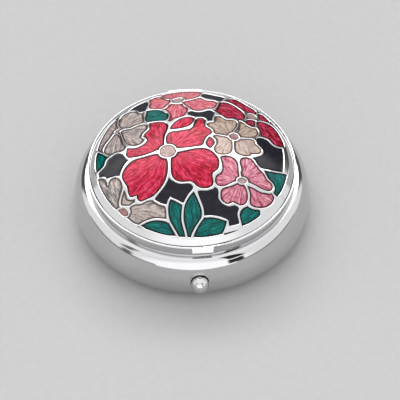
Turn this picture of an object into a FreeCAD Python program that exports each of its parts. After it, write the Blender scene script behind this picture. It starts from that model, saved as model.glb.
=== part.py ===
"""Round metal pill box with a hinged, domed lid set with enamel blossoms and a push-button latch.

Millimetres. +Z is up. The origin is the middle of the flat bottom. The push button faces -Y
and the hinge is at +Y.
"""
import FreeCAD, Part
import math
import os

V = FreeCAD.Vector

# ---- bowl -------------------------------------------------------------------------------
BELLY_RADIUS = 25.0
BELLY_HEIGHT = 4.5
BOTTOM_RADIUS = BELLY_RADIUS - BELLY_HEIGHT
SHEET = 0.5
PARTING_HEIGHT = 11.2
SHOULDER_RADIUS = 22.05
MOUTH_RADIUS = 21.35

# ---- seat collar ------------------------------------------------------------------------
COLLAR_THICKNESS = 0.5
COLLAR_BOTTOM = 8.0
COLLAR_TOP = 12.6
COLLAR_GAP_HALF = 3.4
MOUTH_SLOT_HALF = 3.3
MOUTH_SLOT_RADIUS = 21.75

# ---- lid --------------------------------------------------------------------------------
RIM_RADIUS = 22.0
RIM_INNER_RADIUS = 21.5
RIM_BOTTOM = PARTING_HEIGHT + 0.05
RIM_TOP = 13.9
DOME_RADIUS = 52.0
ENAMEL_RADIUS = 20.0
ENAMEL_EDGE_HEIGHT = 15.3
BEVEL_RADIUS = 20.3
DOME_CENTRE = ENAMEL_EDGE_HEIGHT - math.sqrt(DOME_RADIUS ** 2 - ENAMEL_RADIUS ** 2)
PLATE_RADIUS = 21.35
PLATE_EDGE_TOP = 13.9
PLATE_EDGE_BOTTOM = 13.35
PLATE_THICKNESS = 1.0
CARRIER_THICKNESS = 0.5
POCKET_DEPTH = 0.45
ENAMEL_SINK = 0.05
PRISM_BOTTOM = 13.0
PRISM_TOP = 21.0

# ---- mirror -----------------------------------------------------------------------------
MIRROR_RADIUS = 18.8
MIRROR_BOTTOM = 12.95
MIRROR_THICKNESS = 0.8
PAD_RADIUS = 18.6
PAD_THICKNESS = 0.45
RING_INNER_RADIUS = 18.2
RING_OUTER_RADIUS = 20.8
RING_BOTTOM = 12.7

# ---- hinge ------------------------------------------------------------------------------
HINGE_Y = 22.75
HINGE_Z = 11.3
KNUCKLE_RADIUS = 0.9
KNUCKLE_CLEARANCE = 0.1
HINGE_HALF = 4.5
MIDDLE_KNUCKLE_HALF = 1.75
KNUCKLE_GAP = 0.1
PIN_RADIUS = 0.35
PIN_HEAD_RADIUS = 0.6
PIN_HEAD_LENGTH = 0.25
FIXED_BORE_RADIUS = 0.36
FREE_BORE_RADIUS = 0.40
LEAF_THICKNESS = 0.35

# ---- button and latch -------------------------------------------------------------------
BUTTON_Z = 6.5
BALL_RADIUS = 1.85
BALL_Y = -25.5
FERRULE_INNER_RADIUS = 1.95
FERRULE_OUTER_RADIUS = 2.25
FERRULE_STAND = 0.2
FERRULE_BACK_Y = -23.5
STEM_RADIUS = 1.0
STEM_NECK_RADIUS = 0.9
STEM_END_Y = -16.8
HOOK_FRONT_Y = -20.3
HOOK_THICKNESS = 0.5
HOOK_HALF = 2.4
HOOK_BOTTOM = 4.9
HOOK_TOP = 9.6
NOSE_HALF = 1.6
NOSE_BOTTOM = 8.75
NOSE_TOP = 9.35
NOSE_TIP_Y = -21.45
CLIP_RADIUS = 1.7
CLIP_THICKNESS = 0.3
BRACKET_SHEET = 0.4
BRACKET_HALF = 2.6
BRACKET_FRONT_TOP = 8.2
BRACKET_BACK_Y = -17.0
BRACKET_BACK_TOP = 9.2
SPRING_WIRE_RADIUS = 0.14
SPRING_RADIUS = 1.35
SPRING_TURNS = 3.5

# ---- catch on the lid -------------------------------------------------------------------
TONGUE_HALF = 2.6
TONGUE_THICKNESS = 0.45
TONGUE_BOTTOM = 8.0
TONGUE_TOP = 12.7
WINDOW_HALF = 1.9
WINDOW_BOTTOM = 8.65
WINDOW_TOP = 9.45
LIP_MIDDLE_X = 0.8
LIP_WIDTH = 4.3
LIP_BOTTOM = 12.5
LIP_NOSE = 0.55
LIP_TOP = 13.75
LIP_REACH = 0.6
LIP_CORNER = 0.5
SHANK_RADIUS = 0.18
SHANK_X = (-0.4, 2.0)
SHANK_Z = 12.73

# ---- pill tray --------------------------------------------------------------------------
TRAY_RADIUS = 20.3
TRAY_FLANGE_RADIUS = 20.8
TRAY_BOTTOM = SHEET
TRAY_TOP = 10.9
TRAY_FLANGE_BOTTOM = 10.1
TRAY_WALL = 0.9
TRAY_FLOOR = 1.0
TRAY_FRONT_Y = -15.7
TRAY_CORNER = 1.6

# ---- enamel motif -----------------------------------------------------------------------
# Seen from above. A point marked CORNER ends one smooth stretch of the outline and starts
# the next one. Outlines that run past the edge of the enamel are trimmed to it.
CORNER = True

# x, y, half length, half width, tilt in degrees, width of the metal line round it
CENTRES = {
    "crimson": (-5.0, 0.25, 1.55, 1.55, 0.0, 0.6),
    "cream": (9.15, 3.95, 0.82, 0.82, 0.0, 0.6),
    "rose": (9.95, -7.75, 0.9, 0.62, 0.0, 0.42),
    "coral": (-1.85, 16.7, 1.2, 0.7, 15.0, 0.45),
    "garnet": (13.45, 11.2, 0.95, 0.8, -30.0, 0.4),
    "lilac_back": (-15.15, 8.9, 0.62, 0.36, 40.0, 0.38),
    "lilac_front": (-14.95, -12.7, 1.15, 0.6, -42.0, 0.38),
}

CRIMSON_CELLS = {
    "petal_left_back": [
        (-5.8, 2.4, CORNER), (-5.7, 3.8), (-5.3, 5.4), (-4.8, 6.8), (-4.7, 7.8), (-5.2, 8.8),
        (-6.3, 9.3), (-8.5, 9.3, CORNER), (-8.2, 8.3), (-8.4, 7.3), (-9.4, 6.2),
        (-9.6, 5.4, CORNER), (-9.0, 4.6), (-9.1, 3.8), (-10.0, 2.9), (-11.3, 2.4),
        (-12.4, 2.5), (-13.3, 2.9, CORNER), (-13.5, 1.6), (-13.2, 0.5), (-12.2, 0.2),
        (-10.3, 0.2), (-8.8, 0.5), (-7.4, 1.0, CORNER), (-5.0, 0.25, CORNER)],
    "petal_right_back": [
        (-4.9, 2.3, CORNER), (-5.0, 3.7), (-4.8, 4.8), (-4.2, 5.5), (-2.8, 5.7), (-1.0, 5.9),
        (0.2, 6.2), (0.9, 7.1), (1.35, 8.3), (1.8, 9.3), (2.4, 9.6), (3.1, 9.3), (3.3, 8.5),
        (3.15, 7.6), (3.5, 6.7), (4.3, 5.9), (4.5, 5.1), (3.9, 4.4), (3.1, 3.4), (2.6, 2.2),
        (2.1, 1.4), (1.0, 1.15), (-1.0, 0.95), (-2.9, 0.9, CORNER), (-5.0, 0.25, CORNER)],
    "petal_right_front": [
        (-2.9, -0.4, CORNER), (-1.0, -0.1), (0.6, 0.2), (2.2, 0.3), (3.5, -0.1), (4.6, -1.2),
        (5.3, -2.6), (5.3, -4.1), (4.7, -5.3), (3.8, -6.2), (3.75, -7.2), (3.9, -8.2),
        (3.5, -9.1), (2.4, -9.6), (1.2, -9.45), (0.2, -8.6), (-0.5, -7.95), (-1.6, -7.9),
        (-2.7, -7.85), (-3.8, -7.2), (-4.35, -6.2), (-4.45, -4.7), (-4.4, -3.0),
        (-4.3, -1.8, CORNER), (-5.0, 0.25, CORNER)],
    "petal_left_front": [
        (-5.4, -1.8, CORNER), (-5.35, -3.6), (-5.6, -5.6), (-6.2, -7.4), (-7.3, -9.0),
        (-8.7, -10.3), (-10.2, -10.9), (-11.5, -10.9), (-11.8, -10.3), (-11.8, -9.5, CORNER),
        (-13.2, -9.6, CORNER), (-13.6, -8.7), (-13.7, -7.4), (-14.2, -6.0), (-14.65, -4.7),
        (-14.4, -3.3), (-13.5, -1.9), (-12.2, -0.9), (-10.3, -0.6), (-8.5, -0.35),
        (-7.1, -0.3, CORNER), (-5.0, 0.25, CORNER)],
    "bud": [
        (-3.9, 6.75, CORNER), (-3.5, 7.9), (-2.6, 9.0), (-1.4, 9.8), (-0.1, 10.1),
        (0.8, 9.9), (1.0, 9.2), (0.6, 8.3), (-0.2, 7.4), (-1.4, 6.9), (-2.8, 6.7)],
    "diamond": [
        (4.0, 3.6, CORNER), (4.7, 2.7), (4.9, 2.0), (4.5, 1.2), (4.0, 0.5, CORNER),
        (3.5, 1.0), (3.2, 2.0), (3.5, 2.9)],
}

GARNET_CELLS = {
    "petal_back": [
        (8.1, 16.3, CORNER), (9.0, 16.9), (10.2, 17.1), (11.6, 16.1), (13.2, 14.5),
        (14.5, 13.1), (14.5, 12.3), (13.9, 11.8), (13.2, 12.4), (12.4, 12.6), (11.7, 13.3),
        (10.7, 14.5), (9.4, 15.7)],
    "petal_left": [
        (5.65, 12.4, CORNER), (6.4, 13.2), (6.8, 14.5), (7.2, 15.3), (8.2, 15.5),
        (9.4, 14.9), (10.6, 13.7), (11.6, 12.3), (11.9, 11.2), (11.8, 10.2), (11.2, 9.7),
        (10.3, 9.75), (9.6, 10.1), (8.6, 9.85), (7.7, 10.3), (6.7, 11.3)],
    "petal_small": [
        (12.0, 9.0), (12.6, 9.7), (13.6, 9.8), (14.2, 9.7, CORNER), (13.95, 9.0),
        (13.85, 8.0, CORNER), (13.0, 8.0), (12.3, 8.4)],
    "petal_front": [
        (14.7, 9.6, CORNER), (15.8, 9.7), (17.0, 9.2), (18.0, 8.1), (18.8, 6.4),
        (19.4, 4.5), (19.6, 3.0, CORNER), (18.4, 2.9), (17.5, 3.2), (16.8, 4.3),
        (15.9, 4.95), (15.1, 5.2), (15.0, 6.3), (14.75, 7.6), (14.45, 8.6)],
    "petal_right": [
        (15.1, 12.6, CORNER), (16.0, 12.0), (17.2, 10.3), (16.9, 10.0, CORNER),
        (15.9, 10.2), (15.1, 10.8), (14.9, 11.5)],
}

CORAL_CELLS = {
    "petal_left": [
        (-4.0, 17.2), (-4.9, 17.9), (-5.6, 18.6), (-6.5, 18.75), (-7.4, 18.2),
        (-7.75, 17.3), (-7.7, 16.4), (-8.0, 15.6), (-7.6, 14.7), (-6.5, 14.3),
        (-5.3, 14.2), (-4.7, 14.7), (-4.3, 15.4), (-3.7, 16.1)],
    "petal_front": [
        (-3.4, 15.3, CORNER), (-2.5, 15.0), (-1.6, 15.0), (-1.2, 15.2, CORNER),
        (-1.0, 14.3), (-0.3, 13.3), (-0.2, 12.6), (-0.6, 11.5), (-1.2, 10.7),
        (-2.4, 10.3), (-3.4, 9.75), (-3.9, 9.2), (-4.2, 9.3, CORNER), (-4.0, 10.0),
        (-3.7, 10.9), (-3.9, 12.0), (-4.4, 13.2), (-4.9, 13.6, CORNER), (-4.1, 14.4)],
    "petal_right": [
        (-0.8, 15.6, CORNER), (-0.3, 16.0), (0.8, 16.4), (1.9, 16.8), (2.9, 17.1),
        (3.6, 16.6), (4.1, 16.1), (4.9, 15.95), (5.8, 15.8), (6.35, 15.2), (6.2, 14.4),
        (5.7, 13.5), (4.8, 13.2), (3.8, 13.1), (3.0, 12.6), (2.0, 12.4), (1.1, 12.8),
        (0.3, 13.8), (-0.4, 14.8)],
    "petal_back": [
        (-5.2, 20.3, CORNER), (-5.0, 18.9), (-4.4, 18.0), (-3.4, 17.5), (-1.8, 17.2),
        (-0.2, 16.7), (1.0, 17.0), (2.2, 17.7), (2.9, 18.5), (3.0, 20.5, CORNER)],
}

ROSE_CELLS = {
    "petal_left_back": [
        (6.0, -2.0, CORNER), (7.0, -1.8), (8.1, -2.0), (8.9, -2.7), (9.25, -3.8),
        (9.25, -5.2), (9.3, -6.3), (9.95, -7.75, CORNER), (8.5, -8.0, CORNER), (7.3, -8.5),
        (6.4, -9.1), (5.5, -9.2), (4.6, -8.7), (4.4, -7.8), (4.9, -6.7), (5.8, -6.0),
        (6.2, -5.0), (6.2, -3.4)],
    "petal_right_back": [
        (10.0, -3.0), (10.3, -2.2), (11.3, -1.9), (12.3, -2.15), (12.8, -3.0),
        (13.5, -3.8, CORNER), (13.9, -4.8), (14.8, -5.8), (15.2, -6.8), (16.0, -7.5),
        (16.2, -8.4), (15.7, -9.2), (14.6, -9.25), (13.2, -8.7), (11.6, -8.0, CORNER),
        (9.95, -7.75, CORNER), (10.0, -5.6, CORNER), (10.15, -4.3)],
    "petal_left_front": [
        (5.3, -10.9), (5.8, -9.9), (7.2, -9.35), (8.4, -8.8, CORNER), (9.95, -7.75, CORNER),
        (10.3, -8.9, CORNER), (10.7, -10.2), (10.75, -11.4), (10.4, -12.6), (9.4, -13.3),
        (8.4, -13.0), (7.7, -12.7), (6.8, -13.1), (5.9, -12.9), (5.3, -12.0)],
    "petal_right_front": [
        (11.0, -8.9, CORNER), (12.2, -9.4), (13.5, -10.1), (14.8, -10.3), (15.9, -10.1, CORNER),
        (16.2, -11.0), (15.7, -12.1), (14.7, -13.0), (13.6, -13.4), (12.3, -13.45),
        (11.5, -13.1), (11.25, -12.3), (11.4, -11.1), (11.3, -9.9)],
}

CREAM_CELLS = {
    "petal_left_back": [
        (5.7, 9.2), (5.9, 10.1), (6.5, 10.3), (7.2, 9.6), (8.2, 9.1), (9.2, 9.1),
        (9.9, 8.7), (10.0, 7.7), (9.6, 6.7), (8.9, 5.4), (9.15, 3.95, CORNER),
        (7.6, 4.3, CORNER), (6.4, 4.5), (5.2, 4.9), (5.1, 5.6), (4.4, 6.5), (3.9, 7.2),
        (4.1, 7.9), (5.0, 8.1), (5.5, 8.5)],
    "petal_right_back": [
        (10.8, 9.0, CORNER), (11.5, 8.5), (12.3, 7.6), (13.2, 7.1), (14.0, 7.1, CORNER),
        (14.3, 6.2), (14.1, 5.2), (13.4, 4.5), (12.2, 4.15), (10.6, 4.1, CORNER),
        (9.9, 5.4, CORNER), (10.4, 6.2), (10.6, 7.4)],
    "petal_right_front": [
        (9.2, 2.5, CORNER), (10.6, 3.35, CORNER), (11.6, 3.45), (12.7, 3.5), (13.4, 3.1),
        (13.6, 2.3), (14.3, 1.5), (14.6, 0.8), (14.2, 0.0), (13.2, -0.4),
        (12.3, -0.5, CORNER), (12.2, -0.9), (11.4, -1.15), (10.3, -1.1), (9.4, -0.6),
        (9.15, 0.4)],
    "petal_left_front": [
        (4.9, 3.9), (5.4, 4.2), (6.4, 3.9), (7.5, 3.6), (8.6, 2.4, CORNER), (8.5, 1.2),
        (8.3, 0.0), (7.7, -0.85), (6.7, -1.1), (5.7, -1.1), (5.0, -0.4), (4.85, 0.6),
        (5.2, 1.5), (5.5, 2.4), (5.3, 3.2)],
}

LILAC_CELLS = {
    "back_petal_back": [
        (-14.3, 9.8, CORNER), (-14.75, 11.3), (-14.3, 13.0), (-13.3, 14.3), (-12.3, 14.7),
        (-11.1, 14.5, CORNER), (-10.5, 13.5, CORNER), (-9.5, 13.2, CORNER), (-9.6, 12.0),
        (-9.45, 10.9), (-9.8, 10.15), (-11.2, 9.7), (-12.6, 9.3), (-13.7, 9.55)],
    "back_petal_left": [
        (-15.7, 13.4, CORNER), (-15.2, 12.4), (-15.2, 10.9), (-15.5, 9.7), (-16.3, 8.4),
        (-17.0, 7.1), (-18.0, 5.9), (-18.5, 4.7), (-18.9, 4.2, CORNER), (-20.1, 5.0, CORNER),
        (-19.5, 8.0), (-17.6, 11.2)],
    "back_petal_front": [
        (-15.5, 8.2), (-16.3, 7.4), (-17.2, 6.0), (-18.0, 4.8), (-18.1, 3.9), (-17.6, 2.9),
        (-16.6, 2.3), (-15.9, 2.6), (-15.0, 2.6), (-14.0, 2.95), (-13.8, 3.6, CORNER),
        (-14.3, 4.8), (-14.6, 6.3), (-15.0, 7.6)],
    "back_petal_right": [
        (-14.4, 8.5, CORNER), (-14.1, 7.3), (-13.9, 6.0), (-13.4, 4.6), (-12.5, 3.7),
        (-11.3, 3.4), (-10.3, 3.8), (-9.9, 4.6, CORNER), (-10.5, 5.4, CORNER), (-10.2, 6.3),
        (-9.4, 7.3), (-9.0, 8.2), (-9.2, 9.0), (-9.9, 9.3), (-11.0, 9.1), (-12.2, 8.65),
        (-13.5, 8.75)],
    "front_petal_left": [
        (-20.4, -4.2, CORNER), (-19.2, -3.4), (-18.4, -3.9), (-18.05, -4.6),
        (-17.95, -5.6, CORNER), (-17.6, -5.6, CORNER), (-17.4, -4.7), (-16.6, -4.2),
        (-15.7, -4.6), (-15.1, -5.6),
        (-15.0, -6.9), (-15.3, -8.3), (-15.7, -9.7), (-15.8, -11.3, CORNER),
        (-17.4, -12.0, CORNER), (-19.2, -8.6)],
    "front_petal_small": [
        (-14.55, -7.7, CORNER), (-14.2, -9.1), (-13.9, -10.2), (-13.0, -10.45),
        (-12.5, -10.4, CORNER), (-12.55, -10.9, CORNER), (-13.7, -11.4, CORNER),
        (-15.2, -11.0, CORNER), (-15.1, -9.5), (-14.8, -8.5)],
    "front_petal_right": [
        (-13.4, -12.1), (-12.5, -11.7), (-11.3, -11.85), (-10.2, -11.45), (-9.2, -11.4),
        (-8.3, -12.2), (-7.3, -12.8), (-6.5, -13.3), (-6.3, -14.4), (-6.2, -15.8, CORNER),
        (-7.3, -15.5), (-9.0, -15.2), (-10.5, -15.4), (-11.9, -15.9), (-13.3, -16.9, CORNER),
        (-15.2, -14.6, CORNER), (-13.9, -13.6), (-13.3, -12.9)],
}

GREEN_CELLS = {
    "leaf_left_back": [
        (-8.6, 13.9, CORNER), (-7.5, 13.8), (-6.2, 13.5), (-5.6, 13.0), (-5.1, 12.4),
        (-4.5, 11.8), (-4.3, 10.8), (-4.7, 10.0), (-6.0, 9.85), (-7.5, 9.95), (-8.9, 10.3),
        (-9.0, 11.3), (-8.7, 12.5)],
    "leaf_left": [
        (-20.4, 4.3, CORNER), (-19.3, 3.8), (-18.6, 3.0), (-17.6, 1.9, CORNER),
        (-18.1, 1.1), (-18.3, 0.2), (-18.9, -0.6), (-20.4, -1.4, CORNER)],
    "leaf_right": [
        (14.8, -4.65, CORNER), (16.4, -4.8), (18.0, -4.75), (20.0, -4.85, CORNER),
        (19.4, -6.9), (18.4, -8.8), (17.2, -10.6, CORNER), (16.4, -9.7, CORNER),
        (16.8, -8.7), (16.6, -7.7), (15.6, -6.5), (15.2, -5.5)],
    "leaf_right_front": [
        (10.6, -13.7, CORNER), (11.4, -14.1), (13.1, -14.2, CORNER), (12.9, -15.9, CORNER),
        (9.3, -18.6, CORNER), (8.95, -16.6), (8.95, -15.2), (9.6, -14.3)],
    "spray_left": [
        (-12.4, -16.6, CORNER), (-10.4, -16.0), (-8.6, -15.85), (-7.0, -16.2),
        (-5.9, -16.9), (-5.0, -18.4), (-4.0, -20.3, CORNER), (-8.6, -19.2)],
    "spray_slim": [
        (-5.1, -11.8, CORNER), (-4.4, -12.1), (-3.5, -12.8), (-2.95, -13.3, CORNER),
        (-3.15, -14.8), (-3.25, -16.5), (-2.9, -18.3), (-2.6, -20.4, CORNER),
        (-3.4, -20.4, CORNER), (-4.5, -18.4), (-5.3, -16.6), (-5.65, -14.6), (-5.5, -13.0)],
    "spray_tall": [
        (-0.25, -10.4, CORNER), (0.1, -11.6), (0.6, -13.2), (0.95, -14.7), (0.85, -16.0),
        (0.2, -17.2), (-0.7, -18.3), (-1.6, -20.4, CORNER), (-2.0, -20.4, CORNER),
        (-2.4, -18.4), (-2.65, -16.5), (-2.5, -14.6), (-1.9, -12.7), (-1.0, -11.3)],
    "spray_right": [
        (-1.2, -20.4, CORNER), (-0.3, -18.7), (0.5, -17.4), (1.3, -16.6), (2.3, -16.25),
        (3.8, -16.4), (6.0, -17.0, CORNER), (5.5, -18.2), (4.3, -20.4, CORNER)],
}

BLACK_CELLS = {
    "left_back": [
        (-12.5, 15.1, CORNER), (-10.6, 16.5), (-8.9, 17.4, CORNER), (-8.4, 16.8),
        (-8.6, 15.4), (-9.1, 14.2, CORNER), (-10.2, 14.1, CORNER), (-10.7, 14.8),
        (-11.3, 15.1)],
    "left": [
        (-15.8, 2.0), (-14.8, 1.7), (-14.1, 0.6), (-13.5, -0.4, CORNER), (-14.4, -1.4),
        (-15.1, -2.8), (-15.4, -3.7, CORNER), (-16.6, -3.5), (-17.9, -3.7, CORNER),
        (-18.3, -3.0), (-19.3, -2.8, CORNER), (-19.3, -1.7), (-18.5, -1.0), (-17.9, 0.0),
        (-17.6, 0.8), (-16.8, 1.4)],
    "middle_back": [
        (0.1, 11.4), (0.5, 12.0), (1.5, 11.7), (2.8, 11.6), (3.7, 11.9), (4.6, 12.2),
        (5.3, 11.7), (5.3, 10.9), (4.95, 9.9), (4.75, 8.9, CORNER), (4.1, 8.85, CORNER),
        (3.9, 9.6), (3.0, 10.1), (1.8, 10.2), (0.7, 10.6)],
    "right_back": [
        (3.5, 18.3), (3.9, 18.8), (5.4, 18.4), (7.0, 17.85), (8.0, 17.3), (7.7, 16.7),
        (7.1, 16.1), (6.4, 16.4), (5.4, 16.8), (4.3, 17.2)],
    "right": [
        (14.2, 4.1), (15.2, 4.25), (16.2, 3.8), (17.0, 2.8), (18.0, 2.2),
        (19.1, 2.2, CORNER), (19.1, 0.0), (18.9, -2.2), (18.6, -4.0, CORNER), (16.8, -4.1),
        (15.2, -3.95), (14.2, -3.9), (13.5, -2.8), (12.6, -1.7, CORNER), (14.1, -1.1),
        (15.0, -0.3), (15.15, 0.7), (14.4, 1.9), (13.9, 3.1)],
    "right_front": [
        (0.7, -10.4, CORNER), (1.9, -10.4), (3.2, -10.3), (4.2, -9.6, CORNER),
        (4.75, -10.5), (4.65, -11.8), (5.2, -13.1), (6.3, -13.8), (7.3, -13.9),
        (8.0, -13.7, CORNER), (8.6, -14.1), (8.35, -15.2), (8.5, -16.4),
        (8.5, -17.3, CORNER), (6.6, -17.8, CORNER), (6.5, -16.7, CORNER), (5.0, -15.95),
        (3.2, -15.65), (1.6, -15.7, CORNER), (1.6, -14.2), (1.2, -12.4)],
    "middle_front": [
        (-5.15, -6.5, CORNER), (-4.6, -7.5), (-3.5, -8.3), (-2.3, -8.5), (-1.1, -8.6),
        (-0.5, -9.3), (-1.3, -10.6), (-2.1, -11.8), (-2.6, -12.7, CORNER), (-3.7, -12.0),
        (-4.6, -11.4), (-5.1, -10.9, CORNER), (-5.6, -11.4), (-6.1, -12.6, CORNER),
        (-7.4, -11.9), (-8.2, -11.2, CORNER), (-7.2, -10.0), (-6.1, -8.7), (-5.4, -7.4)],
}

ENAMELS = {
    "enamel_crimson": (CRIMSON_CELLS, ["crimson"]),
    "enamel_garnet": (GARNET_CELLS, ["garnet"]),
    "enamel_coral": (CORAL_CELLS, ["coral"]),
    "enamel_rose": (ROSE_CELLS, ["rose"]),
    "enamel_cream": (CREAM_CELLS, ["cream"]),
    "enamel_lilac": (LILAC_CELLS, ["lilac_back", "lilac_front"]),
    "enamel_green": (GREEN_CELLS, []),
    "enamel_black": (BLACK_CELLS, []),
}


# ---- drawing helpers --------------------------------------------------------------------
def side(radius, height):
    """A point of a turned profile."""
    return V(radius, 0, height)


def line(a, b):
    return Part.LineSegment(a, b).toShape()


def path(points):
    """Straight edges from point to point."""
    return [line(a, b) for a, b in zip(points, points[1:])]


def arc(a, middle, b):
    return Part.Arc(a, middle, b).toShape()


def turned(edges):
    """Solid turned about Z from a closed profile."""
    wire = Part.Wire(Part.__sortEdges__(edges))
    return Part.Face(wire).revolve(V(0, 0, 0), V(0, 0, 1), 360)


def box(x0, x1, y0, y1, z0, z1):
    return Part.makeBox(x1 - x0, y1 - y0, z1 - z0, V(x0, y0, z0))


def tube(inner, outer, z0, z1):
    height = z1 - z0
    return Part.makeCylinder(outer, height, V(0, 0, z0)).cut(
        Part.makeCylinder(inner, height, V(0, 0, z0)))


def rod_x(radius, x0, x1):
    """Round bar on the hinge axis."""
    return Part.makeCylinder(radius, x1 - x0, V(x0, HINGE_Y, HINGE_Z), V(1, 0, 0))


def rod_y(radius, y0, y1, x=0.0, z=BUTTON_Z):
    """Round bar along Y."""
    return Part.makeCylinder(radius, y1 - y0, V(x, y0, z), V(0, 1, 0))


def ball_of_dome(drop):
    """Ball whose top is the dome surface, lowered by drop. Its poles are kept off the dome."""
    return Part.makeSphere(DOME_RADIUS - drop, V(0, 0, DOME_CENTRE), V(0, 1, 0))


def dome_height(radius, drop):
    return DOME_CENTRE + math.sqrt((DOME_RADIUS - drop) ** 2 - radius ** 2)


def dome_arc(drop, outer_radius):
    """Profile arc of the dome, lowered by drop, from the axis out to a radius."""
    radii = (0.0, outer_radius / 2, outer_radius)
    return arc(*[side(r, dome_height(r, drop)) for r in radii])


# ---- bowl -------------------------------------------------------------------------------
def belly_profile(grow):
    """Belly and shoulder edges from the flat bottom to the flat land, moved out by grow."""
    low_centre = side(BOTTOM_RADIUS, BELLY_HEIGHT)
    radius = BELLY_HEIGHT + grow
    slope = radius * math.sqrt(0.5)
    bottom = low_centre + side(0, -radius)
    widest = low_centre + side(radius, 0)
    belly = arc(bottom, low_centre + side(slope, -slope), widest)
    centre = side(SHOULDER_RADIUS, BELLY_HEIGHT)
    rise = PARTING_HEIGHT - BELLY_HEIGHT + grow
    reach = BELLY_RADIUS - SHOULDER_RADIUS + grow
    ellipse = Part.Ellipse(centre + side(0, rise), centre + side(reach, 0), centre)
    shoulder = Part.ArcOfEllipse(ellipse, 0, math.pi / 2).toShape()
    return [belly, shoulder]


def button_hole(radius):
    return rod_y(radius, -BELLY_RADIUS - 5, FERRULE_BACK_Y + 1)


def hinge_clearance():
    return rod_x(KNUCKLE_RADIUS + KNUCKLE_CLEARANCE, -HINGE_HALF - 0.1, HINGE_HALF + 0.1)


def make_base_shell():
    land_bottom = PARTING_HEIGHT - SHEET
    profile = path([side(0, SHEET), side(0, 0), side(BOTTOM_RADIUS, 0)]) + belly_profile(0)
    profile += path([side(SHOULDER_RADIUS, PARTING_HEIGHT), side(MOUTH_RADIUS, PARTING_HEIGHT),
                     side(MOUTH_RADIUS, land_bottom), side(SHOULDER_RADIUS, land_bottom)])
    profile += belly_profile(-SHEET) + path([side(BOTTOM_RADIUS, SHEET), side(0, SHEET)])
    shell = turned(profile)
    shell = shell.cut(button_hole(FERRULE_OUTER_RADIUS))
    slot_half = MOUTH_SLOT_HALF
    shell = shell.cut(box(-slot_half, slot_half, -MOUTH_SLOT_RADIUS, 0, land_bottom - 1, 12))
    shell = shell.cut(hinge_clearance())
    leaf_half = HINGE_HALF + 0.1
    return shell.cut(box(-leaf_half, leaf_half, 20, HINGE_Y - 0.2, land_bottom - 0.4, 12))


def make_base_collar():
    inner = MOUTH_RADIUS - COLLAR_THICKNESS
    edge = COLLAR_THICKNESS / 2
    top = COLLAR_TOP - edge
    profile = path([side(MOUTH_RADIUS, top), side(MOUTH_RADIUS, COLLAR_BOTTOM),
                    side(inner, COLLAR_BOTTOM), side(inner, top)])
    profile += [arc(side(inner, top), side(inner + edge, COLLAR_TOP), side(MOUTH_RADIUS, top))]
    collar = turned(profile)
    half = COLLAR_GAP_HALF
    return collar.cut(box(-half, half, -BELLY_RADIUS, 0, COLLAR_BOTTOM - 1, COLLAR_TOP + 1))


def make_button_ferrule():
    sleeve = rod_y(FERRULE_OUTER_RADIUS, -BELLY_RADIUS - 2, FERRULE_BACK_Y)
    sleeve = sleeve.cut(rod_y(FERRULE_INNER_RADIUS, -BELLY_RADIUS - 3, FERRULE_BACK_Y + 1))
    edges = belly_profile(FERRULE_STAND)
    low = side(BOTTOM_RADIUS, -FERRULE_STAND)
    high = side(SHOULDER_RADIUS, PARTING_HEIGHT + FERRULE_STAND)
    edges += path([low, side(0, low.z), side(0, high.z), high])
    return sleeve.common(turned(edges))


# ---- pill tray --------------------------------------------------------------------------
def compartment(x0, x1, y0, y1):
    """Room with rounded upright corners and a rounded floor edge."""
    floor = TRAY_BOTTOM + TRAY_FLOOR
    room = Part.makeCylinder(TRAY_RADIUS - TRAY_WALL, TRAY_TOP + 4 - floor, V(0, 0, floor))
    room = room.common(box(x0, x1, y0, y1, floor, TRAY_TOP + 4))
    upright = [e for e in room.Edges if abs(e.BoundBox.ZLength) > 1]
    room = room.makeFillet(TRAY_CORNER, upright)
    bottom = [e for e in room.Edges if e.BoundBox.ZMax < floor + 0.01]
    return room.makeFillet(TRAY_CORNER * 0.8, bottom)


def make_pill_tray():
    half_wall = TRAY_WALL / 2
    wide = BELLY_RADIUS
    cup = Part.makeCylinder(TRAY_RADIUS, TRAY_TOP - TRAY_BOTTOM, V(0, 0, TRAY_BOTTOM))
    cup = cup.cut(box(-wide, wide, -wide, TRAY_FRONT_Y, 0, TRAY_FLANGE_BOTTOM))
    flange_height = TRAY_TOP - TRAY_FLANGE_BOTTOM
    tray = cup.fuse(Part.makeCylinder(TRAY_FLANGE_RADIUS, flange_height,
                                      V(0, 0, TRAY_FLANGE_BOTTOM))).removeSplitter()
    front = TRAY_FRONT_Y + TRAY_WALL
    tray = tray.cut(compartment(-wide, wide, front, -half_wall))
    tray = tray.cut(compartment(half_wall, wide, half_wall, wide))
    return tray.cut(compartment(-wide, -half_wall, half_wall, wide))


# ---- hinge ------------------------------------------------------------------------------
def make_base_hinge_leaf():
    leaf = tube(MOUTH_RADIUS, MOUTH_RADIUS + LEAF_THICKNESS, 8.6, 11.1)
    leaf = leaf.common(box(-HINGE_HALF, HINGE_HALF, 0, BELLY_RADIUS, 8, 12))
    start = MIDDLE_KNUCKLE_HALF + KNUCKLE_GAP
    for x0, x1 in ((-HINGE_HALF, -start), (start, HINGE_HALF)):
        web = box(x0, x1, MOUTH_RADIUS + 0.1, HINGE_Y, 10.45, 11.1)
        web = web.cut(Part.makeCylinder(MOUTH_RADIUS, 20))
        leaf = leaf.fuse(web).fuse(rod_x(KNUCKLE_RADIUS, x0, x1))
    return leaf.cut(rod_x(FIXED_BORE_RADIUS, -wide_x(), wide_x())).removeSplitter()


def wide_x():
    """A little more than half the hinge length."""
    return HINGE_HALF + 1


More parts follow.
